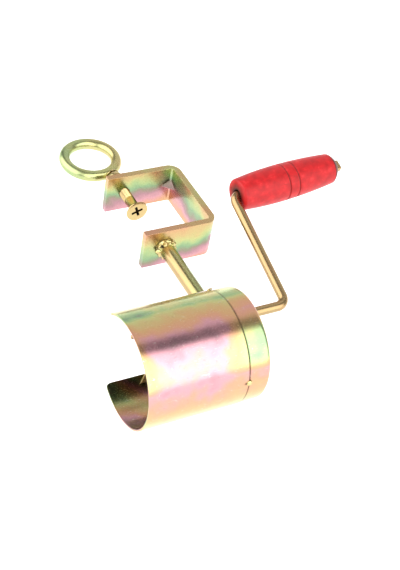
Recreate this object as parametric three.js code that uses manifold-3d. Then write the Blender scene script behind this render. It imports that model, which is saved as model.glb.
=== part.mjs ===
// Hand-cranked strap winder on a bench clamp: a bent flat-bar C clamp carries a rod, the rod carries
// an open drum, and a Z-bent crank turns a two-pronged fork inside the drum.
// Frame: millimetres, +X along the drum towards the crank, +Y along the clamp screw towards its ring,
// +Z across the bar. The origin is the centre of the fixed jaw's inner face, on the screw's axis.
import * as THREE from "three";
import { mergeVertices } from "three/addons/utils/BufferGeometryUtils.js";
import Module from "manifold-3d";

const wasm = await Module();
wasm.setup();

// ---- Driving dimensions: millimetres and degrees ----
const GAP = 0.3; // kept between separate pieces that touch, and round a shaft in its hole

// Clamp: one flat bar bent twice
const BAR_WIDTH = 30;
const BAR_THICK = 5;
const THROAT = 60.5; // between the jaws' inner faces
const JAW_REACH = 52.4; // from the back's inner face to the jaws' free ends
const SCREW_TO_BACK = 38; // from the screw's axis to the back's inner face
const BEND_INSIDE_R = 1.5;
const BEND_OUTSIDE_R = 9; // the bar is drawn thinner round its bends
const DART_LEG = 8; // stiffening dart pressed into each bend, along each face
const DART_WIDTH = 9.5;
const NOTCH_DEPTH = 2; // dent that the dart leaves outside the bend
const NOTCH_WIDTH = 6.8;

// Clamp screw: M8 countersunk, head inwards as the pad
const SCREW_D = 8;
const SCREW_LENGTH = 44;
const HEAD_D = 16.5;
const HEAD_RIM = 0.7;
const TAIL_STANDOUT = 16.2; // from the screw jaw's outer face to the screw's end, as stored
const RECESS_SPAN = 8.9;
const RECESS_WIDTH = 2.4;
const RECESS_DEPTH = 3.4;

// Ring handle welded on the screw's tail
const RING_MEAN_R = 19.65;
const RING_BAR_D = 8.4;
const RING_SIDE_SHIFT = 8.4; // the ring's centre from the screw's axis, towards -X
const RING_STANDOFF = 2.1; // weld metal between the screw's end and the ring's bar
const RING_TILT = 1.5;
const RING_DROP = 1; // the ring is welded this much off the screw's centre, towards -Z
const TAIL_WELD_R = 6.3;
const TAIL_WELD_LENGTH = 5;

// Support rod between the fixed jaw and the drum
const ROD_D = 11;
const ROD_LENGTH = 63;
const ROD_X = 2.5;
const ROD_WELD_R = 8.2;
const ROD_WELD_HEIGHT = 4;

// Drum: a rolled shell with a lengthwise opening, closed by a drawn end cup
const DRUM_R = 38;
const SHEET = 1.5;
const SHELL_LENGTH = 69.6;
const OPENING_FROM = -57.2; // angles about the drum's axis, from +Y towards +Z
const OPENING_TO = 43;
const CUP_DEPTH = 15.9;
const CUP_STEP = 0.4; // the cup is this much smaller in radius than the shell
const CUP_CORNER_R = 3;
const ROD_TO_CUP_END = 8.1;
const TACK_R = 2;
const TACK_HEIGHT = 1.1;
const TACK_ANGLES = [OPENING_TO + 5, 173, OPENING_FROM + 355];

// Guide plate welded inside along the opening's lower edge
const GUIDE_THICK = 1.5;
const GUIDE_WIDTH = 12;
const GUIDE_OVERLAP = 6; // below the opening's edge
const GUIDE_LENGTH = 39.6;
const GUIDE_TO_CUP = 8;
const GUIDE_SLANT = 12; // how much shorter the free edge is

// Bearing sleeve through the cup's end
const SLEEVE_D = 12;
const SLEEVE_LENGTH = 20;
const SLEEVE_INSIDE = 7; // reach inside the cup's end face
const SLEEVE_WELD_R = 8.6;
const SLEEVE_WELD_HEIGHT = 2.6;

// Crank: one round bar bent to a Z
const CRANK_D = 7;
const SHAFT_SHIFT = 22.1; // the shaft's axis from the drum's axis, towards the clamp
const ARM_TO_CUP = 46.7; // from the cup's end face to the arm's centreline, at the shaft
const ARM_LENGTH = 91.5;
const ARM_ANGLE = 17.7; // as stored, above +Y
const ARM_LEAN = 0.5; // the arm leans back over the drum by this much
const CRANK_BEND_R = 7;
const GRIP_LEAN = 5; // the grip's stub leans outwards by this much
const CRIMP_LENGTH = 4.5;
const CRIMP_WIDTH = 8;
const CRIMP_THICK = 5;
const WASHER_D = 13;
const WASHER_THICK = 1.2;

// Winding fork: a bent wire welded across the shaft's end
const FORK_WIRE_D = 3;
const FORK_SPREAD = 12;
const FORK_LENGTH = 54.9;
const FORK_ANGLE = -31.1; // the fork's plane from the arm
const FORK_WELD_R = 5.6;

// Grip: turned wood, loose on the crank's stub
const GRIP_LENGTH = 85.3;
const GRIP_FACE = 3.6; // from the arm's centreline to the grip's face
const GRIP_NEAR_R = 11.5;
const GRIP_WAIST_R = 13.7;
const GRIP_WAIST = 36; // from the near face to the thickest place
const GRIP_FAR_R = 10.9;
const GRIP_EDGE = 1.6;
const GRIP_FAR_CHAMFER = 4;
const GRIP_BORE_R = CRANK_D / 2 + 0.5;
const GRIP_MOUTH_R = 6.6; // counterbore that clears the crank's bend
const GRIP_MOUTH_DEPTH = 10;
const GROOVE_FROM_FACE = [38.1, 46.6];
const GROOVE_WIDTH = 1.4;
const GROOVE_DEPTH = 0.7;
const CRIMP_GAP = 1.8; // end play of the grip

// ---- Derived places ----
const BACK_X = SCREW_TO_BACK;
const JAW_END_X = BACK_X - JAW_REACH;
const SCREW_TAIL_Y = THROAT + BAR_THICK + TAIL_STANDOUT;
const HEAD_Y = SCREW_TAIL_Y - SCREW_LENGTH;
const CUP_R = DRUM_R - CUP_STEP;
const DRUM_Y = -BAR_THICK - ROD_LENGTH - CUP_R;
const CUP_END_X = ROD_X + ROD_TO_CUP_END;
const CUP_RIM_X = CUP_END_X - CUP_DEPTH;
const SHELL_END_X = CUP_RIM_X - GAP;
const SHELL_OPEN_X = SHELL_END_X - SHELL_LENGTH;
const SHAFT_Y = DRUM_Y + SHAFT_SHIFT;
const SLEEVE_INNER_X = CUP_END_X - SLEEVE_INSIDE;
const SLEEVE_OUTER_X = SLEEVE_INNER_X + SLEEVE_LENGTH;
const SHAFT_END_X = SLEEVE_INNER_X - 4;
const ARM_X = CUP_END_X + ARM_TO_CUP;

const rad = THREE.MathUtils.degToRad;
const ROUND = 24; // facets of a turned piece

// ---- Materials ----
const plating = (color, roughness) => new THREE.MeshStandardMaterial({ color, roughness, metalness: 1 });
const CHROMATE_SHEET = 0xd8c89a;
const CHROMATE_BAR = 0xc9b98a;
const CHROMATE_ROD = 0xc2a872;
const WELD = 0xd9cfae;

// ---- Helpers ----
/** A closed three.js geometry as a manifold solid that faces outwards. */
function solid(geometry) {
  const g = geometry.clone();
  g.deleteAttribute("normal");
  g.deleteAttribute("uv");
  const merged = mergeVertices(g, 1e-4);
  const corners = merged.index.array;
  const kept = [];
  for (let i = 0; i < corners.length; i += 3) {
    const [a, b, c] = corners.slice(i, i + 3);
    if (a !== b && b !== c && a !== c) kept.push(a, b, c);
  }
  const build = (triVerts) =>
    new wasm.Manifold(
      new wasm.Mesh({ numProp: 3, vertProperties: merged.attributes.position.array, triVerts }),
    );
  const made = build(new Uint32Array(kept));
  return made.volume() > 0 ? made : build(new Uint32Array(kept.reverse()));
}

/** A named mesh of a manifold solid, lit by flat facets. */
function piece(name, body, material) {
  const m = body.getMesh();
  const g = new THREE.BufferGeometry();
  const points = new Float32Array(m.numVert * 3);
  for (let i = 0; i < m.numVert; i++) {
    points.set(m.vertProperties.subarray(i * m.numProp, i * m.numProp + 3), i * 3);
  }
  g.setAttribute("position", new THREE.BufferAttribute(points, 3));
  g.setIndex(new THREE.BufferAttribute(m.triVerts, 1));
  g.computeVertexNormals();
  const mesh = new THREE.Mesh(g, material);
  mesh.name = name;
  return mesh;
}

const points2 = (pairs) => pairs.map(([r, h]) => new THREE.Vector2(r, h));
/** A turned solid about +Y from [radius, height] pairs. */
const turned = (pairs, facets = ROUND) => new THREE.LatheGeometry(points2(pairs), facets);
/** The same, laid along +X. */
const turnedX = (pairs, facets = ROUND) => turned(pairs, facets).rotateZ(-Math.PI / 2);
/** A ring about +Y: inner and outer radius, from one height to another, outer edge bevelled. */
const collar = (inner, outer, from, to, bevel = 0) =>
  turned([
    [inner, from],
    [outer, from],
    [outer - bevel, to],
    [inner, to],
    [inner, from],
  ]);
/** A plain cylinder about +Y between two heights. */
const bar = (radius, from, to, facets = ROUND) =>
  new THREE.CylinderGeometry(radius, radius, to - from, facets).translate(0, (from + to) / 2, 0);

/** A rod's centreline: straight runs joined by round bends, with points only where it turns. */
class RodPath extends THREE.Curve {
  constructor(corners, bendRadius, bendSteps) {
    super();
    this.stops = [];
    this.add(corners[0], corners[1].clone().sub(corners[0]).normalize());
    for (let i = 1; i < corners.length - 1; i++) {
      const into = corners[i].clone().sub(corners[i - 1]).normalize();
      const out = corners[i + 1].clone().sub(corners[i]).normalize();
      const turn = into.angleTo(out);
      const start = corners[i].clone().addScaledVector(into, -bendRadius * Math.tan(turn / 2));
      const side = out.clone().addScaledVector(into, -into.dot(out)).normalize();
      for (let k = 0; k <= bendSteps; k++) {
        const a = (turn * k) / bendSteps;
        const at = start.clone();
        at.addScaledVector(into, bendRadius * Math.sin(a));
        at.addScaledVector(side, bendRadius * (1 - Math.cos(a)));
        const along = into.clone().multiplyScalar(Math.cos(a)).addScaledVector(side, Math.sin(a));
        this.add(at, along);
      }
    }
    const last = corners.length - 1;
    this.add(corners[last], corners[last].clone().sub(corners[last - 1]).normalize());
  }
  add(at, along) {
    this.stops.push({ at, along });
  }
  stop(u) {
    return this.stops[Math.round(u * (this.stops.length - 1))];
  }
  getPointAt(u, target = new THREE.Vector3()) {
    return target.copy(this.stop(u).at);
  }
  getTangentAt(u, target = new THREE.Vector3()) {
    return target.copy(this.stop(u).along);
  }
}

/** A round rod along a RodPath. */
function bentRod(path, diameter) {
  const section = new THREE.Shape().absarc(0, 0, diameter / 2, 0, 2 * Math.PI);
  const steps = path.stops.length - 1;
  return new THREE.ExtrudeGeometry(section, { extrudePath: path, steps, curveSegments: 7 });
}

/** A tetrahedron from four corners. */
function tetra(corners) {
  const g = new THREE.BufferGeometry();
  g.setAttribute("position", new THREE.Float32BufferAttribute(corners.flat(), 3));
  g.setIndex([0, 1, 2, 0, 3, 1, 1, 3, 2, 2, 3, 0]);
  return solid(g);
}

const model = new THREE.Group();

// ---- Clamp bar ----
/** The bent bar's side outline, from the fixed jaw round the back to the screw jaw. */
function barOutline() {
  const cx = BACK_X - BEND_INSIDE_R;
  const low = BEND_INSIDE_R;
  const high = THROAT - BEND_INSIDE_R;
  const outerCx = BACK_X + BAR_THICK - BEND_OUTSIDE_R;
  const outerLow = BEND_OUTSIDE_R - BAR_THICK;
  const outerHigh = THROAT + BAR_THICK - BEND_OUTSIDE_R;
  const s = new THREE.Shape();
  s.moveTo(JAW_END_X, -BAR_THICK);
  s.lineTo(outerCx, -BAR_THICK);
  s.absarc(outerCx, outerLow, BEND_OUTSIDE_R, -Math.PI / 2, 0, false);
  s.absarc(outerCx, outerHigh, BEND_OUTSIDE_R, 0, Math.PI / 2, false);
  s.lineTo(JAW_END_X, THROAT + BAR_THICK);
  s.lineTo(JAW_END_X, THROAT);
  s.absarc(cx, high, BEND_INSIDE_R, Math.PI / 2, 0, true);
  s.absarc(cx, low, BEND_INSIDE_R, 0, -Math.PI / 2, true);
  s.lineTo(JAW_END_X, 0);
  s.closePath();
  return s;
}

/** The dart inside one bend: its ridge crosses the corner, and it fades to a point on each face. */
function dart(cornerY, inward) {
  const sunk = 0.5;
  return tetra([
    [BACK_X - DART_LEG, cornerY - inward * sunk, 0],
    [BACK_X + sunk, cornerY + inward * DART_LEG, 0],
    [BACK_X + sunk, cornerY - inward * sunk, DART_WIDTH / 2],
    [BACK_X + sunk, cornerY - inward * sunk, -DART_WIDTH / 2],
  ]);
}

/** The dent outside the same bend: a groove across the corner, deepest along its middle line. */
function notch(cornerY, inward) {
  const outerX = BACK_X + BAR_THICK;
  const outerY = cornerY - inward * BAR_THICK;
  const proud = 1; // the cutter starts this far outside the bar's square corner
  const crest = BEND_OUTSIDE_R * (Math.SQRT2 - 1) + proud * Math.SQRT2;
  const reach = (crest + NOTCH_DEPTH) * Math.SQRT2 - proud;
  const spread = (NOTCH_WIDTH / 2) * (1 + crest / NOTCH_DEPTH);
  return tetra([
    [outerX - reach, outerY - inward * proud, 0],
    [outerX + proud, outerY + inward * reach, 0],
    [outerX + proud, outerY - inward * proud, spread],
    [outerX + proud, outerY - inward * proud, -spread],
  ]);
}

let clamp = solid(
  new THREE.ExtrudeGeometry(barOutline(), { depth: BAR_WIDTH, bevelEnabled: false, curveSegments: 6 })
    .translate(0, 0, -BAR_WIDTH / 2),
);
for (const [cornerY, inward] of [[0, 1], [THROAT, -1]]) {
  clamp = clamp.add(dart(cornerY, inward)).subtract(notch(cornerY, inward));
}
clamp = clamp.subtract(solid(bar(SCREW_D / 2 + GAP, THROAT - 1, THROAT + BAR_THICK + 1)));
model.add(piece("clamp_bar", clamp, plating(CHROMATE_BAR, 0.3)));

// ---- Clamp screw, ring and their welds ----
const headTaper = HEAD_D / 2 - SCREW_D / 2;
let screw = solid(
  turned([
    [0, HEAD_Y],
    [HEAD_D / 2, HEAD_Y],
    [HEAD_D / 2, HEAD_Y + HEAD_RIM],
    [SCREW_D / 2, HEAD_Y + HEAD_RIM + headTaper],
    [SCREW_D / 2, SCREW_TAIL_Y],
    [0, SCREW_TAIL_Y],
  ]),
);
for (const turn of [0, Math.PI / 2]) {
  const kite = new THREE.Shape(
    points2([
      [RECESS_SPAN / 2, 0],
      [0, RECESS_WIDTH / 2],
      [-RECESS_SPAN / 2, 0],
      [0, -RECESS_WIDTH / 2],
    ]),
  );
  const slot = new THREE.ExtrudeGeometry(kite, { depth: RECESS_DEPTH + 1, bevelEnabled: false })
    .rotateZ(turn)
    .rotateX(-Math.PI / 2)
    .translate(0, HEAD_Y - 1, 0);
  screw = screw.subtract(solid(slot));
}
model.add(piece("clamp_screw", screw, plating(CHROMATE_ROD, 0.25)));

const ringCentreY =
  SCREW_TAIL_Y + RING_STANDOFF + RING_BAR_D / 2 + Math.sqrt(RING_MEAN_R ** 2 - RING_SIDE_SHIFT ** 2);
/** The ring's torus, tilted about the place where it meets the screw. */
const ringTorus = (barRadius, facets, around) =>
  new THREE.TorusGeometry(RING_MEAN_R, barRadius, facets, around)
    .translate(-RING_SIDE_SHIFT, ringCentreY - SCREW_TAIL_Y, 0)
    .rotateX(rad(RING_TILT))
    .translate(0, SCREW_TAIL_Y, -RING_DROP);
model.add(piece("ring_handle", solid(ringTorus(RING_BAR_D / 2, 12, 48)), plating(CHROMATE_ROD, 0.22)));

const tailWeldFrom = SCREW_TAIL_Y - GAP - TAIL_WELD_LENGTH;
const tailWeld = collar(SCREW_D / 2 + GAP, TAIL_WELD_R, tailWeldFrom, SCREW_TAIL_Y - GAP, 0.6);
model.add(piece("tail_weld", solid(tailWeld), plating(WELD, 0.35)));

const ringWeld = solid(bar(TAIL_WELD_R - 1, SCREW_TAIL_Y + GAP, SCREW_TAIL_Y + RING_STANDOFF + 3))
  .subtract(solid(ringTorus(RING_BAR_D / 2 + GAP, 16, 64)));
const ringWeldBody = ringWeld.decompose().sort((a, b) => b.volume() - a.volume())[0];
model.add(piece("ring_weld", ringWeldBody, plating(WELD, 0.35)));

// ---- Support rod and its welds ----
const rodTop = -BAR_THICK - GAP;
const rodFoot = DRUM_Y + CUP_R + GAP;
const onRod = (name, geometry, material) => {
  model.add(piece(name, solid(geometry.translate(ROD_X, 0, 0)), material));
};
onRod("support_rod", bar(ROD_D / 2, rodFoot, rodTop), plating(CHROMATE_ROD, 0.25));
const rodHole = ROD_D / 2 + GAP;
onRod(
  "jaw_weld",
  collar(rodHole, ROD_WELD_R, rodTop, rodTop - ROD_WELD_HEIGHT, 1.6),
  plating(WELD, 0.35),
);
onRod(
  "cup_weld",
  collar(rodHole, ROD_WELD_R - 1.6, rodFoot, rodFoot + ROD_WELD_HEIGHT, 0.6),
  plating(WELD, 0.35),
);

// ---- Drum shell ----
/** Axes that lay a flat outline in the YZ plane and extrude it along +X. */
const alongX = new THREE.Matrix4().makeBasis(
  new THREE.Vector3(0, 1, 0),
  new THREE.Vector3(0, 0, 1),
  new THREE.Vector3(1, 0, 0),
);
const shellFrom = rad(OPENING_TO);
const shellTo = rad(OPENING_FROM + 360);
const shellOutline = new THREE.Shape();
shellOutline.absarc(0, 0, DRUM_R, shellFrom, shellTo, false);
shellOutline.absarc(0, 0, DRUM_R - SHEET, shellTo, shellFrom, true);
shellOutline.closePath();
const shell = new THREE.ExtrudeGeometry(shellOutline, {
  depth: SHELL_LENGTH,
  bevelEnabled: false,
  curveSegments: 20,
})
  .applyMatrix4(alongX)
  .translate(SHELL_OPEN_X, DRUM_Y, 0);
model.add(piece("drum_shell", solid(shell), plating(CHROMATE_SHEET, 0.28)));

// ---- End cup ----
const cornerSteps = 4;
const cupProfile = [[0, CUP_END_X]];
for (let i = 0; i <= cornerSteps; i++) {
  const a = (Math.PI / 2) * (i / cornerSteps);
  cupProfile.push([
    CUP_R - CUP_CORNER_R * (1 - Math.sin(a)),
    CUP_END_X - CUP_CORNER_R * (1 - Math.cos(a)),
  ]);
}
cupProfile.push([CUP_R, CUP_RIM_X], [CUP_R - SHEET, CUP_RIM_X]);
cupProfile.push([CUP_R - SHEET, CUP_END_X - CUP_CORNER_R]);
cupProfile.push([CUP_R - CUP_CORNER_R, CUP_END_X - SHEET], [0, CUP_END_X - SHEET]);
const cup = solid(turnedX(cupProfile, 48).translate(0, DRUM_Y, 0));
const sleeveHole = bar(SLEEVE_D / 2 + GAP, SLEEVE_INNER_X, SLEEVE_OUTER_X)
  .rotateZ(-Math.PI / 2)
  .translate(0, SHAFT_Y, 0);
model.add(piece("end_cup", cup.subtract(solid(sleeveHole)), plating(CHROMATE_SHEET, 0.28)));

TACK_ANGLES.forEach((angle, i) => {
  const foot = DRUM_R + GAP;
  const dome = turned(
    [
      [0, foot],
      [TACK_R, foot],
      [TACK_R * 0.8, foot + TACK_HEIGHT * 0.6],
      [0, foot + TACK_HEIGHT],
    ],
    10,
  )
    .rotateX(rad(angle))
    .translate(SHELL_END_X + GAP / 2, DRUM_Y, 0);
  model.add(piece(`tack_weld_${i + 1}`, solid(dome), plating(WELD, 0.35)));
});

// ---- Guide plate ----
// Its plane touches the shell's inside along the opening's lower edge and runs on past that edge.
const guideHigh = GUIDE_WIDTH - GUIDE_OVERLAP;
const guideOutline = new THREE.Shape(
  points2([
    [-GUIDE_LENGTH, GUIDE_OVERLAP],
    [0, GUIDE_OVERLAP],
    [0, -guideHigh],
    [GUIDE_SLANT - GUIDE_LENGTH, -guideHigh],
  ]),
);
const guideSag = GUIDE_OVERLAP ** 2 / (2 * (DRUM_R - SHEET));
const guideInset = DRUM_R - SHEET - GAP - guideSag - GUIDE_THICK;
const guide = new THREE.ExtrudeGeometry(guideOutline, { depth: GUIDE_THICK, bevelEnabled: false })
  .translate(SHELL_END_X - GUIDE_TO_CUP, 0, guideInset)
  .rotateX(rad(OPENING_FROM - 90))
  .translate(0, DRUM_Y, 0);
model.add(piece("guide_plate", solid(guide), plating(CHROMATE_SHEET, 0.32)));

// ---- Bearing sleeve and its weld ----
const onShaft = (geometry) => geometry.rotateZ(-Math.PI / 2).translate(0, SHAFT_Y, 0);
const sleeve = collar(CRANK_D / 2 + GAP, SLEEVE_D / 2, SLEEVE_INNER_X, SLEEVE_OUTER_X);
model.add(piece("bearing_sleeve", solid(onShaft(sleeve)), plating(CHROMATE_ROD, 0.3)));
const sleeveWeldFrom = CUP_END_X + GAP;
const sleeveWeld = collar(
  SLEEVE_D / 2 + GAP,
  SLEEVE_WELD_R,
  sleeveWeldFrom,
  sleeveWeldFrom + SLEEVE_WELD_HEIGHT,
  1.4,
);
model.add(piece("sleeve_weld", solid(onShaft(sleeveWeld)), plating(WELD, 0.35)));

// ---- Crank, fork and grip: built with the arm along +Y, then turned about the shaft ----
const crank = new THREE.Group();
crank.position.set(0, SHAFT_Y, 0);
crank.rotation.x = rad(ARM_ANGLE);
model.add(crank);

const lean = rad(GRIP_LEAN);
const armTopX = ARM_X - ARM_LENGTH * Math.sin(rad(ARM_LEAN));
const stubLength = GRIP_FACE + GRIP_LENGTH + CRIMP_GAP + CRIMP_LENGTH;
const crankPath = new RodPath(
  [
    new THREE.Vector3(SHAFT_END_X, 0, 0),
    new THREE.Vector3(ARM_X, 0, 0),
    new THREE.Vector3(armTopX, ARM_LENGTH, 0),
    new THREE.Vector3(armTopX + stubLength * Math.cos(lean), ARM_LENGTH + stubLength * Math.sin(lean), 0),
  ],
  CRANK_BEND_R,
  8,
);
/** Puts a geometry built along +Y from the arm's centreline onto the grip's axis. */
const onStub = (geometry) => geometry.rotateZ(lean - Math.PI / 2).translate(armTopX, ARM_LENGTH, 0);
const crimp = new THREE.BoxGeometry(CRIMP_WIDTH, CRIMP_LENGTH, CRIMP_THICK)
  .translate(0, stubLength - CRIMP_LENGTH / 2, 0);
const crankRod = solid(bentRod(crankPath, CRANK_D)).add(solid(onStub(crimp)));
crank.add(piece("crank_rod", crankRod, plating(CHROMATE_ROD, 0.25)));

const washerFrom = SLEEVE_OUTER_X + GAP;
const washer = collar(CRANK_D / 2 + GAP, WASHER_D / 2, washerFrom, washerFrom + WASHER_THICK);
crank.add(piece("retaining_washer", solid(washer.rotateZ(-Math.PI / 2)), plating(CHROMATE_ROD, 0.3)));

const forkApexX = SHAFT_END_X - GAP - FORK_WIRE_D / 2;
const forkTipX = forkApexX - FORK_LENGTH;
const forkBend = FORK_SPREAD / 2 - 0.1; // leaves a short straight between the two bends
const forkPath = new RodPath(
  [
    new THREE.Vector3(forkTipX, FORK_SPREAD / 2, 0),
    new THREE.Vector3(forkApexX, FORK_SPREAD / 2, 0),
    new THREE.Vector3(forkApexX, -FORK_SPREAD / 2, 0),
    new THREE.Vector3(forkTipX, -FORK_SPREAD / 2, 0),
  ],
  forkBend,
  6,
);
const fork = bentRod(forkPath, FORK_WIRE_D).rotateX(rad(FORK_ANGLE));
crank.add(piece("winding_fork", solid(fork), plating(CHROMATE_ROD, 0.25)));
const forkWeld = collar(CRANK_D / 2 + GAP, FORK_WELD_R, SHAFT_END_X, SLEEVE_INNER_X - 2 * GAP, 0.8);
crank.add(piece("fork_weld", solid(forkWeld.rotateZ(-Math.PI / 2)), plating(WELD, 0.35)));

/** The grip's outer radius at a distance from its near face: a barrel of two parabolic halves. */
function gripRadius(s) {
  const near = s < GRIP_WAIST;
  const [end, span] = near ? [GRIP_NEAR_R, GRIP_WAIST] : [GRIP_FAR_R, GRIP_LENGTH - GRIP_WAIST];
  const away = Math.abs(s - GRIP_WAIST) / span;
  return end + (GRIP_WAIST_R - end) * (1 - away ** 2);
}

/** Distances along the grip where its outline needs a point, with the groove bottoms marked. */
function gripStations() {
  const plain = 10;
  const stations = [];
  for (let i = 0; i <= plain; i++) {
    const s = GRIP_EDGE + ((GRIP_LENGTH - GRIP_FAR_CHAMFER - GRIP_EDGE) * i) / plain;
    const nearGroove = GROOVE_FROM_FACE.some((g) => Math.abs(g - s) < GROOVE_WIDTH);
    if (!nearGroove) stations.push([s, 0]);
  }
  for (const g of GROOVE_FROM_FACE) {
    stations.push([g - GROOVE_WIDTH / 2, 0], [g, GROOVE_DEPTH], [g + GROOVE_WIDTH / 2, 0]);
  }
  return stations.sort((a, b) => a[0] - b[0]);
}

const gripProfile = [
  [GRIP_MOUTH_R, 0],
  [gripRadius(0) - GRIP_EDGE, 0],
  ...gripStations().map(([s, cut]) => [gripRadius(s) - cut, s]),
  [GRIP_FAR_R - GRIP_FAR_CHAMFER / 2, GRIP_LENGTH],
  [GRIP_BORE_R, GRIP_LENGTH],
  [GRIP_BORE_R, GRIP_MOUTH_DEPTH],
  [GRIP_MOUTH_R, GRIP_MOUTH_DEPTH],
  [GRIP_MOUTH_R, 0],
].map(([r, s]) => [r, s + GRIP_FACE]);
const redWood = new THREE.MeshStandardMaterial({ color: 0xd92b26, roughness: 0.35, metalness: 0 });
crank.add(piece("grip", solid(onStub(turned(gripProfile, 28))), redWood));

export default model;
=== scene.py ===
"""Looks of a hand-cranked strap winder on a bench clamp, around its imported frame."""

import bmesh
import bpy
import numpy as np
from mathutils import Matrix, Vector


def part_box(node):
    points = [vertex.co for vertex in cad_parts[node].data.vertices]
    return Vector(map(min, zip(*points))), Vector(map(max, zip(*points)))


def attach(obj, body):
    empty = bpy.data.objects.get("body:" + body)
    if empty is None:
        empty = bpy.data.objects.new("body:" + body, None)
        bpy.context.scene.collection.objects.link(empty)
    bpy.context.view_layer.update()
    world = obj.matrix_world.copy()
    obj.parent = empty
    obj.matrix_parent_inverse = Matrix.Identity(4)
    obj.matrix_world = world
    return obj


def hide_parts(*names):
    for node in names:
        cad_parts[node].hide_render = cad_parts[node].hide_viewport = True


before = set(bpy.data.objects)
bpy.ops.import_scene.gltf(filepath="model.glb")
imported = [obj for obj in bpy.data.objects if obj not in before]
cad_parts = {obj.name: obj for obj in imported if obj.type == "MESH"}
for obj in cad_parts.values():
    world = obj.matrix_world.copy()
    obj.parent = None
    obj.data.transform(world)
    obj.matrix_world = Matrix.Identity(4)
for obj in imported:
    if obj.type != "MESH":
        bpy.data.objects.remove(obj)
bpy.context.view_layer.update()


# ---- Camera, light and floor ----
# The winder hangs over a white floor, with one large soft box in front and one on the left. The dark
# room between and above the boxes gives plated metal its dark bands.
MM = 0.001

camera_data = bpy.data.cameras.new("camera")
camera_data.lens = 72.63
camera = bpy.data.objects.new("camera", camera_data)
bpy.context.scene.collection.objects.link(camera)
look = Vector((0.42360, 0.61802, -0.66228))
up = Vector((0.20474, 0.64687, 0.73460))
stand = Matrix.Translation((-0.32533, -0.53481, 0.52203))
camera.matrix_world = stand @ Matrix((look.cross(up), up, -look)).transposed().to_4x4()
bpy.context.scene.camera = camera
bpy.context.scene.view_settings.view_transform = "Standard"


def add(tree, kind, inputs=(), stops=(), **settings):
    """Adds a node with its properties, its sockets (a value, or the socket that feeds it) and its ramp."""
    made = tree.nodes.new(kind)
    for key, value in settings.items():
        setattr(made, key, value)
    for key, value in dict(inputs).items():
        if isinstance(value, bpy.types.NodeSocket):
            tree.links.new(value, made.inputs[key])
        else:
            made.inputs[key].default_value = value
    for i, (place, colour) in enumerate(stops):
        old = made.color_ramp.elements
        stop = old[i] if i < len(old) else old.new(place)
        stop.position = place
        stop.color = colour
    return made


def linear(code):
    """An sRGB colour such as "#C0A060" as linear red, green, blue and alpha."""
    parts = np.array([int(code[i : i + 2], 16) for i in (1, 3, 5)]) / 255
    lit = np.where(parts <= 0.04045, parts / 12.92, ((parts + 0.055) / 1.055) ** 2.4)
    return (*lit.tolist(), 1.0)


def grey(value):
    """An even grey of that light, with alpha."""
    return (value, value, value, 1.0)


FRONT_BOX = (0.10, -0.90, 0.42)
LEFT_BOX = (-0.88, 0.30, 0.37)
BOX_LIGHT = 3.3  # radiance of a soft box
# How near a direction is to a box (its cosine), and the light there as a share of the box's.
LEVELS = [(0.0, 0.30), (0.30, 0.29), (0.42, 0.10), (0.64, 0.075), (0.71, 0.8), (1.0, 1.0)]

world = bpy.data.worlds.new("studio")
bpy.context.scene.world = world
world.use_nodes = True
sky = world.node_tree
sky.nodes.clear()
toward = add(sky, "ShaderNodeTexCoord").outputs["Generated"]
front = add(sky, "ShaderNodeVectorMath", {0: toward, 1: FRONT_BOX}, operation="DOT_PRODUCT")
left = add(sky, "ShaderNodeVectorMath", {0: toward, 1: LEFT_BOX}, operation="DOT_PRODUCT")
either = {0: front.outputs["Value"], 1: left.outputs["Value"]}
nearest = add(sky, "ShaderNodeMath", either, operation="MAXIMUM")
stops = [(level, grey(share)) for level, share in LEVELS]
levels = add(sky, "ShaderNodeValToRGB", {0: nearest.outputs[0]}, stops=stops)
glow = add(sky, "ShaderNodeBackground", {"Color": levels.outputs["Color"], "Strength": BOX_LIGHT})
add(sky, "ShaderNodeOutputWorld", {"Surface": glow.outputs[0]})

FLOOR_DROP = 0.30  # metres below the clamp screw's axis
FLOOR_REACH = 60.0
FLOOR_GLOW = 0.25  # light of its own, so that it stays white at its far side
floor_mesh = bpy.data.meshes.new("floor")
sides = FLOOR_REACH * np.array([(-1, -1), (1, -1), (1, 1), (-1, 1)])
floor_mesh.from_pydata([(x, y, -FLOOR_DROP) for x, y in sides.tolist()], [], [(0, 1, 2, 3)])
floor = bpy.data.objects.new("floor", floor_mesh)
bpy.context.scene.collection.objects.link(floor)
paper = bpy.data.materials.new("white_paper_sweep")  # a bright, even white under the whole object
paper.use_nodes = True
paper_skin = paper.node_tree.nodes["Principled BSDF"].inputs
paper_skin["Base Color"].default_value = linear("#FAFAF9")
paper_skin["Roughness"].default_value = 0.9
paper_skin["Emission Color"].default_value = linear("#FFFFFF")
paper_skin["Emission Strength"].default_value = FLOOR_GLOW
floor_mesh.materials.append(paper)


# ---- Clamp bar ----
# Flat mild-steel bar, 30 x 5 mm, bent cold to a C round two tight corners, with a dart pressed into
# each. Zinc plated and dipped in yellow chromate, which dries in bands of gold, pink and green.
CREASE = np.radians(38)  # a sharper edge than this keeps a crisp line
SAME_POINT = 0.0002  # millimetres within which two points of a made piece are one
SAME_CORNER = 0.002  # and of a copied CAD mesh, whose points are coarser


def smooth(name, mesh):
    """An object of the mesh with doubles merged, faces turned outwards and all but sharp edges smooth."""
    work = bmesh.new()
    work.from_mesh(mesh)
    bmesh.ops.remove_doubles(work, verts=work.verts, dist=SAME_POINT * MM)
    bmesh.ops.recalc_face_normals(work, faces=work.faces)
    work.to_mesh(mesh)
    work.free()
    mesh.polygons.foreach_set("use_smooth", np.ones(len(mesh.polygons), bool))
    mesh.set_sharp_from_angle(angle=CREASE)
    piece = bpy.data.objects.new(name, mesh)
    bpy.context.scene.collection.objects.link(piece)
    return piece


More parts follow.
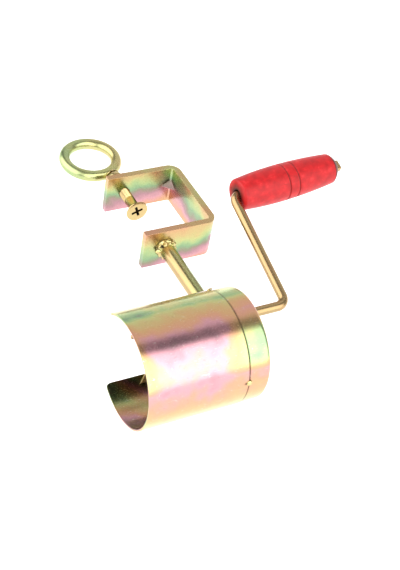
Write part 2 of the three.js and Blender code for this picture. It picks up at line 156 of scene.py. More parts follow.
def softened(name, node, edge):
    """A merged copy of a CAD node with its sharp edges rounded to the given width in millimetres."""
    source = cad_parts[node]
    mesh = source.data.copy()
    mesh.transform(source.matrix_world)
    work = bmesh.new()
    work.from_mesh(mesh)
    bmesh.ops.remove_doubles(work, verts=work.verts, dist=SAME_CORNER * MM)
    bmesh.ops.dissolve_limit(work, angle_limit=np.radians(1), verts=work.verts, edges=work.edges)
    work.to_mesh(mesh)
    work.free()
    piece = smooth(name, mesh)
    bevel = piece.modifiers.new("worn_edges", "BEVEL")
    bevel.width = edge * MM
    bevel.segments = 3
    bevel.limit_method = "ANGLE"
    bevel.angle_limit = np.radians(35)  # the bends' own facets are flatter, so they stay
    bevel.harden_normals = True
    return piece


def finish(piece, material, body, slot, *nodes):
    """Gives the piece its material and its body, and hides the CAD nodes that it stands for. The slot is not
    used.
    """
    piece.data.materials.clear()
    piece.data.materials.append(material)
    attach(piece, body)
    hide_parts(*nodes)


# One order of the film's colours as it thickens; the eye sees them as soft bands and patches.
RAINBOW = [
    (0.00, "#C6B07C"),
    (0.13, "#CCA478"),
    (0.26, "#D09C80"),
    (0.38, "#CE98A0"),
    (0.50, "#AC848C"),
    (0.60, "#928A78"),
    (0.70, "#88A680"),
    (0.80, "#A4BA84"),
    (0.91, "#C0BE82"),
    (1.00, "#C6B07C"),
]


SPECK = 1.6  # millimetres across a cloud of dirt specks
SCRATCH = 2.5  # millimetres between the lines that scratches follow
GRAIN = 0.5  # millimetres across the steel's grain, drawn coarser than the real one so that it shows
GRAIN_DEPTH = 0.03


def chromate(
    name,
    start=0.0,
    tilt=(0, 0, 0),
    patch=14.0,
    patchy=0.3,
    rough=0.28,
    streak=(1, 1, 1),
    dirt=0.3,
    shade=0.0,
    scratched=0.0,
):
    """Yellow-chromated zinc. The film's thickness is the stored one plus a start, a slope over the
    object in orders per millimetre and soft patches; its fraction picks the colour. Fine stretched
    grain in the steel varies the gloss and dents it; an even shade, specks of dirt and the stored soot
    and painted shade (dark paint in recesses and hollows) darken it. Scratches are thin pale lines where
    one noise crosses its middle, kept in a few patches."""
    material = bpy.data.materials.new(name)
    material.use_nodes = True
    tree = material.node_tree
    tree.nodes.clear()
    place = add(tree, "ShaderNodeTexCoord").outputs["Object"]
    slope = [share / MM for share in tilt]
    stored = add(tree, "ShaderNodeAttribute", attribute_name="film").outputs["Fac"]
    sloped = add(tree, "ShaderNodeVectorMath", {0: place, 1: slope}, operation="DOT_PRODUCT")
    cloud = add(tree, "ShaderNodeTexNoise", {"Vector": place, "Scale": 1 / (patch * MM), "Detail": 3.0})
    spread = {0: cloud.outputs["Fac"], 1: 2 * patchy, 2: start - patchy}
    patches = add(tree, "ShaderNodeMath", spread, operation="MULTIPLY_ADD").outputs[0]
    film = {0: stored, 1: sloped.outputs["Value"]}
    film = add(tree, "ShaderNodeMath", film, operation="ADD").outputs[0]
    film = add(tree, "ShaderNodeMath", {0: film, 1: patches}, operation="ADD").outputs[0]
    order = add(tree, "ShaderNodeMath", {0: film}, operation="FRACT").outputs[0]
    stops = [(at, linear(code)) for at, code in RAINBOW]
    colour = add(tree, "ShaderNodeValToRGB", {0: order}, stops=stops).outputs["Color"]

    soil = {"Vector": place, "Scale": 1 / (SPECK * MM), "Detail": 7.0}
    soil = add(tree, "ShaderNodeTexNoise", soil).outputs["Fac"]
    specks = add(tree, "ShaderNodeMapRange", {0: soil, 1: 0.60, 2: 0.74, 3: shade, 4: max(dirt, shade)})
    # The stored soot attribute holds real soot and also painted shade: recesses and hollows are painted
    # dark.
    soot_and_painted_shade = add(tree, "ShaderNodeAttribute", attribute_name="soot_and_painted_shade").outputs["Fac"]
    marks = {0: specks.outputs[0], 1: soot_and_painted_shade}
    marks = add(tree, "ShaderNodeMath", marks, operation="ADD", use_clamp=True).outputs[0]
    # The dark brown stands for dirt and soot, and for painted shade where the attribute holds it.
    darkened = {0: marks, 6: colour, 7: linear("#3E3424")}
    stained_and_shaded = add(tree, "ShaderNodeMix", darkened, data_type="RGBA").outputs[2]

    swung = {"Vector": place, "Rotation": (0.5, 0.3, 0.6), "Scale": (0.25, 1, 1)}
    swung = add(tree, "ShaderNodeMapping", swung).outputs[0]
    swirl = {"Vector": swung, "Scale": 1 / (SCRATCH * MM), "Detail": 0.0}
    swirl = add(tree, "ShaderNodeTexNoise", swirl).outputs["Fac"]
    rising = add(tree, "ShaderNodeMapRange", {0: swirl, 1: 0.488, 2: 0.5}).outputs[0]
    falling = add(tree, "ShaderNodeMapRange", {0: swirl, 1: 0.512, 2: 0.5}).outputs[0]
    line = add(tree, "ShaderNodeMath", {0: rising, 1: falling}, operation="MULTIPLY").outputs[0]
    where = add(tree, "ShaderNodeMapRange", {0: soil, 1: 0.54, 2: 0.60, 4: scratched}).outputs[0]
    line = add(tree, "ShaderNodeMath", {0: line, 1: where}, operation="MULTIPLY").outputs[0]
    bare = {0: line, 6: stained_and_shaded, 7: linear("#F0EADC")}
    stained_and_shaded = add(tree, "ShaderNodeMix", bare, data_type="RGBA").outputs[2]

    stretched = add(tree, "ShaderNodeMapping", {"Vector": place, "Scale": streak}).outputs[0]
    grain = {"Vector": stretched, "Scale": 1 / (GRAIN * MM), "Detail": 4.0}
    grain = add(tree, "ShaderNodeTexNoise", grain).outputs["Fac"]
    gloss = {0: grain, 1: 0.3, 2: 0.7, 3: 0.75 * rough, 4: 1.3 * rough}
    gloss = add(tree, "ShaderNodeMapRange", gloss).outputs[0]
    dents = {"Height": grain, "Strength": 0.25, "Distance": GRAIN_DEPTH * MM}
    dents = add(tree, "ShaderNodeBump", dents).outputs[0]
    look_of = {"Base Color": stained_and_shaded, "Metallic": 1.0, "Roughness": gloss, "Normal": dents}
    metal = add(tree, "ShaderNodeBsdfPrincipled", look_of)
    add(tree, "ShaderNodeOutputMaterial", {0: metal.outputs[0]})
    return material


# Orange and gold at the bar's top edge, turning green and then pink down its faces; the rolled surface
# shows faint level streaks.
bar_finish = chromate(
    "rolled_bar_yellow_chromate",
    start=0.80,
    tilt=(-0.004, -0.002, 0.026),
    patch=18.0,
    patchy=0.28,
    rough=0.26,
    streak=(0.3, 0.3, 3.0),
    dirt=0.25,
    shade=0.16,
)
BAR_EDGE = 0.35  # the sheared bar's edges, worn round

bar = softened("clamp_bar_plated", "clamp_bar", BAR_EDGE)
finish(bar, bar_finish, "frame", "bar_chromate", "clamp_bar")


# ---- Clamp screw ----
# An M8 countersunk screw with a cross recess, turned steel with a rolled thread, plated gold. Its head
# is the clamp's pad.
def skin(name, grid, wrap=(False, False)):
    """Quads over a grid of points in millimetres. Wrap joins the last row or column to the first, and
    a row or column that shrinks to one point becomes a pole."""
    rows, columns = grid.shape[:2]
    index = np.arange(rows * columns).reshape(rows, columns)
    if wrap[0]:
        index = np.vstack([index, index[:1]])
    if wrap[1]:
        index = np.hstack([index, index[:, :1]])
    quads = np.stack([index[:-1, :-1], index[1:, :-1], index[1:, 1:], index[:-1, 1:]], -1)
    mesh = bpy.data.meshes.new(name)
    mesh.from_pydata((grid.reshape(-1, 3) * MM).tolist(), [], quads.reshape(-1, 4).tolist())
    return smooth(name, mesh)


def keep(piece, name, values):
    """Stores one number at each point of the piece under a name that a material reads."""
    layer = piece.data.attributes.new(name, "FLOAT", "POINT")
    layer.data.foreach_set("value", np.asarray(values).astype(np.float32))


def points_of(piece):
    """The piece's points, one row each, in millimetres."""
    flat = np.empty(len(piece.data.vertices) * 3)
    piece.data.vertices.foreach_get("co", flat)
    return flat.reshape(-1, 3) / MM


def box_of(node):
    """A CAD node's lowest and highest corners at rest, in millimetres."""
    return [np.array(corner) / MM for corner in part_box(node)]


HEAD_R = 8.25
HEAD_RIM = 0.7
SHANK_R = 4.0
SHANK_END = 51.0
THREAD_PITCH = 1.25
THREAD_DEPTH = 0.62
RECESS_TIP_R = 4.45
RECESS_HALF_WIDTH = 0.95
RECESS_DEPTH = 3.2
SCREW_FACETS = 96
HEAD_TURN = np.radians(20)  # how the cross stands at rest

# The screw is one skin of circles up its axis. Those in the recess are the cross's outline, shrunk by a
# share at a depth: its arm's half width over the sine of the angle from the arm, cut off at the tip.
screw_low, screw_high = box_of("clamp_screw")
phi = np.linspace(0, 2 * np.pi, SCREW_FACETS, endpoint=False)
from_arm = np.abs((phi + np.pi / 4) % (np.pi / 2) - np.pi / 4)
cross = np.minimum(RECESS_TIP_R, RECESS_HALF_WIDTH / np.maximum(np.sin(from_arm), 0.01))
face = screw_low[1]
cone_end = face + HEAD_RIM + HEAD_R - SHANK_R
recess = [(0.0, RECESS_DEPTH), (0.5, 2.9), (0.86, 2.2), (0.96, 0.4), (1.0, 0.12), (1.04, 0.0)]
radii = [share * cross for share, _ in recess]
heights = [face + depth for _, depth in recess]
for radius, height in (
    (5.2, 0.0),
    (HEAD_R - 0.35, 0.0),
    (HEAD_R - 0.08, 0.1),
    (HEAD_R, 0.35),
    (HEAD_R, HEAD_RIM),
    (HEAD_R - 0.15, HEAD_RIM + 0.12),
    (SHANK_R + 0.3, cone_end - face - 0.3),
    (SHANK_R, cone_end - face + 0.2),
    (SHANK_R, SHANK_END - face - 0.5),
):
    radii.append(np.full(SCREW_FACETS, radius))
    heights.append(face + height)
# The thread's groove deepens over its first turn; at each height it lies a share of a turn further on.
for height in np.arange(SHANK_END, screw_high[1] - 0.01, THREAD_PITCH / 8):
    turn = (height / THREAD_PITCH - phi / (2 * np.pi)) % 1
    groove = np.clip(1.25 * (1 - np.abs(2 * turn - 1)), 0, 1)
    started = np.clip((height - SHANK_END) / THREAD_PITCH, 0, 1)
    radii.append(SHANK_R - started * THREAD_DEPTH * groove)
    heights.append(height)
radii += [np.full(SCREW_FACETS, SHANK_R - THREAD_DEPTH), np.zeros(SCREW_FACETS)]
heights += [screw_high[1], screw_high[1]]
radii = np.array(radii)
screw_grid = np.empty((len(heights), SCREW_FACETS, 3))
screw_grid[..., 0] = radii * np.cos(phi + HEAD_TURN)
screw_grid[..., 1] = np.array(heights)[:, None]
screw_grid[..., 2] = radii * np.sin(phi + HEAD_TURN)
# Warm gold with orange on the head's face; glossy, so each turn of the thread sparkles.
screw_finish = chromate("turned_screw_yellow_chromate", 0.02, (0, 0, 0), 12.0, 0.1, 0.2, shade=0.1)
screw = skin("clamp_screw_plated", screw_grid, (False, True))
points = points_of(screw)
deep = points[:, 1] - face
# The cross recess is painted dark: painted shade where light hardly reaches into it.
in_cross = (deep > 0.3) & (np.hypot(points[:, 0], points[:, 2]) < RECESS_TIP_R)
keep(screw, "soot_and_painted_shade", in_cross & (deep < RECESS_DEPTH + 0.1))
finish(screw, screw_finish, "screw", "rod_chromate", "clamp_screw")


# ---- Ring handle and its welds ----
# An 8.4 mm round bar rolled to a ring and butted shut, welded across the screw's tail. The tail weld is
# an even collar, the ring weld a lumpy bead.
def unit(vectors):
    """Vectors scaled to length one."""
    return vectors / np.linalg.norm(vectors, axis=-1, keepdims=True)


def drift(points, wavelength, seed, waves=10):
    """Smooth wandering values, mostly within -1 and 1: a sum of sine waves in seeded directions, each
    one to two wavelengths long."""
    random = np.random.default_rng(seed)
    ways = unit(random.normal(size=(waves, 3))) * 2 * np.pi
    ways /= wavelength * random.uniform(1, 2, (waves, 1))
    return np.sin(points @ ways.T + random.uniform(0, 2 * np.pi, waves)).sum(-1) / np.sqrt(waves)


def turned(profile, at, axis, facets=64):
    """Profile pairs (along, radius) turned about an axis: each point is the centre, plus along times
    the axis, plus the radius times a circle across the axis."""
    profile = np.asarray(profile, float)
    axis = unit(np.asarray(axis, float))
    side = unit(np.cross(axis, [0.03, 0.02, 1.0]))
    turn = np.linspace(0, 2 * np.pi, facets, endpoint=False)[:, None]
    circle = np.cos(turn) * side + np.sin(turn) * np.cross(side, axis)
    return np.asarray(at, float) + profile[:, 0, None, None] * axis + profile[:, 1, None, None] * circle


def bead(name, at, axis, inner, outer, height, seed, lumpy=0.35):
    """A weld bead round an axis: a quarter ellipse from the outer radius at its foot to the inner one
    at its height, closed through its foot, with each point pushed in and out by wandering lumps. Soot
    is kept in the patches where another wander runs high."""
    t = np.linspace(0, np.pi / 2, 14)
    face_line = np.column_stack([height * np.sin(t), inner + (outer - inner) * np.cos(t)])
    foot = [(height, inner * 0.96), (0, inner * 0.96)]
    grid = turned(np.vstack([face_line, foot]), at, axis, 120)
    away = unit(grid - np.asarray(at, float) - height * 0.2 * unit(np.asarray(axis, float)))
    amount = 0.7 * drift(grid, 2.2, seed) + 0.3 * drift(grid, 0.9, seed + 1)
    weight = np.append(np.sin(np.pi * np.linspace(0.06, 0.94, len(face_line))), [0, 0])[:, None]
    grid += away * (lumpy * (amount - 0.6) * weight)[..., None]
    piece = skin(name, grid, (True, True))
    burnt_in = np.clip(drift(points_of(piece), 3.0, seed + 2) - 0.7, 0, 1)
    keep(piece, "soot_and_painted_shade", burnt_in * lumpy * 1.6)
    return piece


RING_MEAN_R = 19.65
RING_BAR_R = 4.2
RING_TILT = np.radians(1.5)
RING_FACETS = (144, 32)

# A torus: a circle of the bar's radius carried round the ring's middle circle, tipped about X.

ring_low, ring_high = box_of("ring_handle")
ring_centre = (ring_low + ring_high) / 2
around = np.linspace(0, 2 * np.pi, RING_FACETS[0], endpoint=False)[:, None]
about = np.linspace(0, 2 * np.pi, RING_FACETS[1], endpoint=False)[None]
reach = RING_MEAN_R + RING_BAR_R * np.cos(about)
lift = RING_BAR_R * np.sin(about)
ahead = reach * np.sin(around)
ring_grid = np.empty((*RING_FACETS, 3))
ring_grid[..., 0] = ring_centre[0] + reach * np.cos(around)
ring_grid[..., 1] = ring_centre[1] + ahead * np.cos(RING_TILT) - lift * np.sin(RING_TILT)
ring_grid[..., 2] = ring_centre[2] + lift * np.cos(RING_TILT) + ahead * np.sin(RING_TILT)
# Drawn bar: gold with orange and green clouds and a softer gloss than the screw.
ring_finish = chromate("drawn_ring_yellow_chromate", 0.92, (0.003, 0, 0), 16.0, 0.14, 0.26, shade=0.12)
ring = skin("ring_handle_plated", ring_grid, (True, True))
finish(ring, ring_finish, "screw", "rod_chromate", "ring_handle")

# Weld metal: pale, brighter than the bar, with brown specks in its pits.
weld_finish = chromate("weld_bead_yellow_chromate", 0.96, (0, 0, 0), 4.0, 0.16, 0.24, dirt=0.75)
low, high = box_of("tail_weld")
foot, up_axis = (0, low[1], 0), (0, 1, 0)
tail = bead("tail_weld_plated", foot, up_axis, SHANK_R, high[2], high[1] - low[1], 3, 0.0)
finish(tail, weld_finish, "screw_carrier", "weld_bead", "tail_weld")
low, high = box_of("ring_weld")
middle = (low + high) / 2
foot, wide, tall = (middle[0], low[1], middle[2]), high[2] - middle[2], high[1] - low[1]
ring_bead = bead("ring_weld_plated", foot, up_axis, 0.6, wide, tall, 5, 0.3)
finish(ring_bead, weld_finish, "screw", "weld_bead", "ring_weld")


# ---- Support rod and its welds ----
# An 11 mm drawn round bar from the fixed jaw to the cup, with a lumpy weld at either end; the jaw's is
# the larger.
ROD_R = 5.5
ROD_EDGE = 0.4
DOWN = (0, -1, 0)  # from the clamp toward the drum

rod_low, rod_high = box_of("support_rod")
rod_at = ((rod_low[0] + rod_high[0]) / 2, rod_high[1], 0)
rod_long = rod_high[1] - rod_low[1]
rod_line = np.linspace(ROD_EDGE, rod_long - ROD_EDGE, 60)
rod_profile = [(0, 0), (0, ROD_R - ROD_EDGE)] + [(s, ROD_R) for s in rod_line]
rod_profile += [(rod_long, ROD_R - ROD_EDGE), (rod_long, 0)]
# Peach to gold-green along the rod, with fine draw marks running its length.
rod_finish = chromate(
    "drawn_rod_yellow_chromate",
    tilt=(-0.03, 0.001, 0),
    patch=10.0,
    patchy=0.1,
    rough=0.24,
    streak=(2.5, 0.2, 2.5),
    shade=0.3,
)
rod = skin("support_rod_plated", turned(rod_profile, rod_at, DOWN), (False, True))
finish(rod, rod_finish, "frame", "rod_chromate", "support_rod")

low, high = box_of("jaw_weld")
foot = (rod_at[0], high[1], 0)
jaw_bead = bead("jaw_weld_plated", foot, DOWN, ROD_R, high[2], high[1] - low[1], 11, 1.1)
finish(jaw_bead, weld_finish, "frame", "weld_bead", "jaw_weld")
low, high = box_of("cup_weld")
foot = (rod_at[0], low[1], 0)
cup_bead = bead("cup_weld_plated", foot, up_axis, ROD_R, high[2], high[1] - low[1], 17, 0.3)
finish(cup_bead, weld_finish, "frame", "weld_bead", "cup_weld")


# ---- Drum shell and its guide plate ----
# 1.5 mm cold-rolled sheet rolled to an open drum with a slot along its back for the strap. A slanting
# guide plate is tucked under the slot's lower edge.
DRUM_R = 38.0
DRUM_Y = -105.6
SHEET = 1.5
SHELL_FROM = np.radians(43.0)
SHELL_TO = np.radians(302.8)
SLOT_CORNER_R = 3.0
SHEARED = 0.25  # rounding of the sheet's sheared edges

# The film met on the way round the drum, from the slot's upper edge over the front to its lower one:
# gold and green at the top, mauve above the front, pink on it, then peach, gold and green below.
AROUND = [43, 58, 68, 75, 82, 92, 104, 116, 124, 138, 150, 158, 166, 182, 196, 208, 222, 300]
FILM = [0, -0.06, -0.12, -0.22, -0.04, 0.1, 0.36, 0.5, 0.44, 0.38, 0.37, 0.4, 0.34, 0.24, 0, -0.1, -0.2, 0.3]
shell_low, shell_high = box_of("drum_shell")


# A burnt pit lies beside each tack weld.
PITS = [sum(box_of(f"tack_weld_{number}")) / 2 - (2.4, 0, 0) for number in (1, 2, 3)]


def sheet_film(piece, seed):
    """Stores the film's thickness: the colour met at each angle round the drum, with clouds over it, turned
    greener toward the cup and the open rim. The soot attribute keeps painted shade inside the drum, a dark
    line along the seam and burnt pits by the tacks."""
    points = points_of(piece)
    angle = np.degrees(np.arctan2(points[:, 2], points[:, 1] - DRUM_Y) % (2 * np.pi))
    film = np.interp(angle, AROUND, FILM)
    film += 0.055 * drift(points, 24, seed) + 0.025 * drift(points, 6, seed + 1)
    rim = np.exp(-np.clip(points[:, 0] - shell_low[0], 0, None) / 6)
    toward_cup = np.clip((points[:, 0] - shell_low[0] - 44) / 26, 0, 1)
    film -= (0.55 * toward_cup**2 + 0.5 * rim) * np.interp(angle, [96, 118, 150, 160], [0, 1, 1, 0])
    seam = np.exp(-(((points[:, 0] - shell_high[0] - 0.15) / 0.6) ** 2))
    hollow = np.hypot(points[:, 1] - DRUM_Y, points[:, 2]) < DRUM_R - 1
    film += hollow * 0.5 * drift(points, 30, seed + 2)
    end_face = np.clip(points[:, 0] - 9, 0, 1)
    film += end_face * (0.1 + 0.12 * drift(points, 30, seed + 3) - film)
    keep(piece, "film", film)
    pits = sum(np.exp(-((np.linalg.norm(points - pit, axis=1) / 1.3) ** 4)) for pit in PITS)
    # Inside the drum the sheet is painted darker as painted shade; the seam line and the pits are dark marks
    # of their own.
    keep(piece, "soot_and_painted_shade", 0.85 * seam + 0.3 * hollow + 0.9 * pits)


# The shell is the sheet's section, a long rounded strip, carried round the drum's axis. Near the slot
# its open end is cut back on a circle, which rounds the sheet's two free corners.
theta = np.linspace(SHELL_FROM, SHELL_TO, 420)[:, None]
to_end = DRUM_R * np.minimum(theta - SHELL_FROM, SHELL_TO - theta)
short = np.clip(SLOT_CORNER_R - to_end, 0, SLOT_CORNER_R)
cut_back = SLOT_CORNER_R - np.sqrt(SLOT_CORNER_R**2 - short**2)
run = np.concatenate([[0, 0.08], np.linspace(0.4, shell_high[0] - shell_low[0] - SHEARED, 110)])
ease = np.array([SHEARED, 0.08] + [0] * 110)
outer_x = shell_low[0] + run
x_line = np.concatenate([outer_x, [shell_high[0], shell_high[0]], outer_x[::-1]])
turn_in = [DRUM_R - SHEARED, DRUM_R - SHEET + SHEARED]
r_line = np.concatenate([DRUM_R - ease, turn_in, (DRUM_R - SHEET + ease)[::-1]])
left_share = np.clip(1 - (x_line - shell_low[0]) / 12, 0, 1)
shell_grid = np.empty((len(theta), len(x_line), 3))
shell_grid[..., 0] = x_line + cut_back * left_share
shell_grid[..., 1] = DRUM_Y + r_line * np.cos(theta)
shell_grid[..., 2] = r_line * np.sin(theta)


def capped(grid, fillet, steps=4):
    """The swept grid closed at both ends: the section draws in over a small fillet, then to its middle
    line, halfway between its point pairs counted from both sides."""
    a = np.linspace(0, np.pi / 2, steps + 1)[:, None, None]
    ends = []
    for row, beside in ((grid[0], grid[1]), (grid[-1], grid[-2])):
        middle_line = (row + row[::-1]) / 2
        toward_middle = unit(middle_line - row + 1e-9)
        way = unit(row - beside)
        drawn_in = row + fillet * (toward_middle * (1 - np.cos(a)) - way * (1 - np.sin(a)))
        ends.append(np.concatenate([drawn_in, middle_line[None]]))
    return np.concatenate([ends[0][::-1], grid[1:-1], ends[1]])


# Bright rolled sheet: wide soft bands round the drum and fine scratches along and across it.
sheet_finish = chromate(
    "rolled_sheet_yellow_chromate",
    patch=9.0,
    patchy=0.06,
    rough=0.22,
    streak=(0.5, 2.0, 2.0),
    dirt=0.18,
    scratched=0.7,
)
shell = skin("drum_shell_plated", capped(shell_grid, SHEARED), (False, True))
sheet_film(shell, 21)
finish(shell, sheet_finish, "frame", "sheet_chromate", "drum_shell")

# Darker than the drum: the film ran thick and brown on the plate's inner face.
plate_finish = chromate("guide_plate_yellow_chromate", 0.55, (0.004, 0.004, 0), 14.0, 0.12, 0.32)
plate = softened("guide_plate_plated", "guide_plate", 0.3)
finish(plate, plate_finish, "frame", "sheet_chromate", "guide_plate")


# ---- End cup and its tacks ----
# A shallow cup pressed from 1.5 mm sheet closes the drum's crank end, with three tack welds over the
# seam. The bearing's hole is above its middle.
CUP_R = 37.6
CUP_CORNER = 3.0
BEARING_Y = -83.5
SLEEVE_R = 6.0
CUP_FACETS = 256

cup_low, cup_high = box_of("end_cup")
hole_r = SLEEVE_R + 0.3  # clear of the sleeve
offset = BEARING_Y - DRUM_Y
spin = np.linspace(0, 2 * np.pi, CUP_FACETS, endpoint=False)
hole = np.stack([offset + hole_r * np.cos(spin), hole_r * np.sin(spin)], -1)
circle = np.stack([np.cos(spin), np.sin(spin)], -1)


def cup_face(x, r):
    """Rows from the hole's circle to a circle of radius r, mixed point by point, at one height x."""
    share = np.linspace(0, 1, 40)[:, None, None]
    ring = hole + (r * circle - hole) * share
    return np.concatenate([np.full(ring.shape[:2] + (1,), x), ring], -1)


def cup_side(x_end, r, corner):
    """Rows from the face round the corner and along the wall: a quarter arc, then a straight."""
    a = np.linspace(0, np.pi / 2, 10)[1:]
    rows = [(x_end - corner + corner * np.cos(t), r - corner + corner * np.sin(t)) for t in a]
    rows += [(x, r) for x in np.linspace(x_end - corner, cup_low[0] + SHEARED, 20)[1:]]
    return circles(rows)


def circles(rows):
    """A row of points for each pair (x, radius): a circle of that radius about the drum's axis at x."""
    return np.array([np.column_stack([np.full(CUP_FACETS, x), radius * circle]) for x, radius in rows])


cup_wall = [
    np.concatenate([cup_face(x_end, CUP_R - CUP_CORNER), cup_side(x_end, radius, corner)])
    for x_end, radius, corner in (
        (cup_high[0], CUP_R, CUP_CORNER),
        (cup_high[0] - SHEET, CUP_R - SHEET, CUP_CORNER - SHEET),
    )
]
lip = circles([(cup_low[0], CUP_R - SHEARED), (cup_low[0], CUP_R - SHEET + SHEARED)])
cup_grid = np.concatenate([cup_wall[0], lip, cup_wall[1][::-1]])
cup_grid[..., 1] += DRUM_Y
cup = skin("end_cup_plated", cup_grid, (True, True))
sheet_film(cup, 33)
finish(cup, sheet_finish, "frame", "sheet_chromate", "end_cup")

TACK_R = 2.0
TACK_HEIGHT = 1.1

for number in (1, 2, 3):
    low, high = box_of(f"tack_weld_{number}")
    middle = (low + high) / 2
    out = unit(np.array([0, middle[1] - DRUM_Y, middle[2]]))
    foot = np.array([middle[0], DRUM_Y, 0]) + out * (DRUM_R + 0.05)
    tack = bead(f"tack_weld_{number}_plated", foot, out, 0.02, TACK_R, TACK_HEIGHT, 40 + number, 0.15)
    finish(tack, weld_finish, "frame", "weld_bead", f"tack_weld_{number}")


# ---- Bearing sleeve, washer and sleeve weld ----
# A short turned tube welded through the cup's face carries the crank; a pressed washer on the crank
# sits against its end.
CRANK_R = 3.5
BORE_GAP = 0.35

sleeve_low, sleeve_high = box_of("bearing_sleeve")
long = sleeve_high[0] - sleeve_low[0]
bore = CRANK_R + BORE_GAP
tube_line = [(0, bore + 0.3), (0, SLEEVE_R - 0.4), (0.12, SLEEVE_R - 0.12), (0.4, SLEEVE_R)]
tube_line += [(s, SLEEVE_R) for s in np.linspace(0.8, long - 0.8, 24)]
tube_line += [(long - 0.4, SLEEVE_R), (long - 0.12, SLEEVE_R - 0.12), (long, SLEEVE_R - 0.4)]
tube_line += [(long, bore + 0.3), (long - 0.3, bore), (0.3, bore)]
along_x = (1, 0, 0)
sleeve_at = (sleeve_low[0], BEARING_Y, 0)
sleeve = skin("bearing_sleeve_plated", turned(tube_line, sleeve_at, along_x), (True, True))
finish(sleeve, screw_finish, "frame", "rod_chromate", "bearing_sleeve")
low, high = box_of("sleeve_weld")
foot = (low[0], BEARING_Y, 0)
collar = bead("sleeve_weld_plated", foot, along_x, SLEEVE_R, high[2], high[0] - low[0], 23, 0.3)
finish(collar, weld_finish, "frame", "weld_bead", "sleeve_weld")
washer = softened("retaining_washer_plated", "retaining_washer", 0.2)
finish(washer, screw_finish, "crank", "rod_chromate", "retaining_washer")


# ---- Crank rod ----
# A 7 mm drawn bar bent twice to a crank: shaft, arm and grip stub. The stub's end is crimped flat to
# keep the grip on.
def rounded(corners, radius, steps=14):
    """Points through the corners, each turn an arc: its centre is on the turn's bisector, at the
    radius over the sine of half the inside angle, and it runs between the two tangent points."""
    corners = np.asarray(corners, float)
    t = np.linspace(0, 1, steps + 1)[:, None]
    runs = [corners[:1]]
    for before, at, after in zip(corners, corners[1:], corners[2:]):
        back, on = unit(before - at), unit(after - at)
        half = np.arccos(np.clip(back @ on, -1, 1)) / 2
        centre = at + unit(back + on) * radius / np.sin(half)
        start = at + back * radius / np.tan(half) - centre
        end = at + on * radius / np.tan(half) - centre
        turn = np.pi - 2 * half
        runs.append(centre + (np.sin((1 - t) * turn) * start + np.sin(t * turn) * end) / np.sin(turn))
    runs.append(corners[-1:])
    return np.vstack(runs)


def spaced(line, step):
    """The same polyline with extra points, so that none is further than the step from the next."""
    parts = []
    for a, b in zip(line[:-1], line[1:]):
        count = max(1, int(np.ceil(np.linalg.norm(b - a) / step)))
        parts.append(a + (b - a) * np.arange(count)[:, None] / count)
    return np.vstack(parts + [line[-1:]])


def swept(line, radius, across, facets=40, fillet=0.5, widths=None, square=None):
    """A round bar along a nearly flat path. Each section is a circle spanned by the direction across the
    path's plane and the one in it; the ends draw in over a fillet. Widths scale the two directions.
    Square (0 to 1) raises their shares of the circle to a lower power, which squares it."""
    way = unit(np.gradient(line, axis=0))
    across = unit(np.asarray(across, float) - (way @ across)[:, None] * way)
    within = np.cross(across, way)
    widths = np.ones((len(line), 2)) if widths is None else widths
    square = np.zeros(len(line)) if square is None else square
    turn = np.linspace(0, 2 * np.pi, facets, endpoint=False)[None, :, None]
    power = 1 - 0.7 * square[:, None, None]
    cosine, sine = [np.sign(value) * np.abs(value) ** power for value in (np.cos(turn), np.sin(turn))]
    wide, tall = (across * widths[:, :1])[:, None], (within * widths[:, 1:])[:, None]
    ring = cosine * wide + sine * tall
    a = np.linspace(np.pi / 2, 0, 6)[:, None, None]
    size = radius - fillet * (1 - np.cos(a))
    ahead = fillet * (1 - np.sin(a))
    first = line[0] + way[0] * ahead + ring[0] * size
    last = line[-1] - way[-1] * ahead + ring[-1] * size
    poles = [np.broadcast_to(end, (1, facets, 3)) for end in (line[0], line[-1])]
    body = line[1:-1, None] + radius * ring[1:-1]
    return np.concatenate([poles[0], first, body, last[::-1], poles[1]])


BEND_R = 7.0
ARM_X = 57.3  # where the arm leaves the shaft
GRIP_AT = np.array([56.502, 3.669, 27.819])
GRIP_WAY = np.array([0.996195, 0.083030, 0.026498])
STUB = 95.2
CRIMP_LONG = 4.5
CRIMP_SIZE = np.array([5.0, 8.0])  # across the arm's plane and in it

shaft_end = (box_of("crank_rod")[0][0], BEARING_Y, 0)
arm_foot = (ARM_X, BEARING_Y, 0)
path = rounded([shaft_end, arm_foot, GRIP_AT, GRIP_AT + STUB * GRIP_WAY], BEND_R)
path = spaced(path, 1.0)
to_stub_end = np.linalg.norm(path - path[-1], axis=-1)
flat = np.clip((CRIMP_LONG + 0.8 - to_stub_end) / 1.6, 0, 1)
flat = (flat * flat * (3 - 2 * flat))[:, None]
arm_across = np.cross(GRIP_WAY, unit(GRIP_AT - np.array(arm_foot)))
crank_widths = 1 + flat * (CRIMP_SIZE / (2 * CRANK_R) - 1)
crank_grid = swept(path, CRANK_R, arm_across, 48, 0.5, crank_widths, flat[:, 0])
# Brown-gold drawn bar, darker than the rod, with a cream highlight.
crank_finish = chromate(
    "drawn_crank_yellow_chromate", 0.08, patch=18.0, patchy=0.1, rough=0.25, shade=0.36
)
crank = skin("crank_rod_plated", crank_grid, (False, True))
finish(crank, crank_finish, "crank", "rod_chromate", "crank_rod")


# ---- Winding fork ----
# A hairpin of 3 mm wire welded to the shaft's inner end; the strap's end is passed between its legs.
WIRE_R = 1.5
WIRE_END = 1.1  # rounding of the legs' tips
FORK_HALF = 6.0
FORK_TURN = np.radians(-13.4)

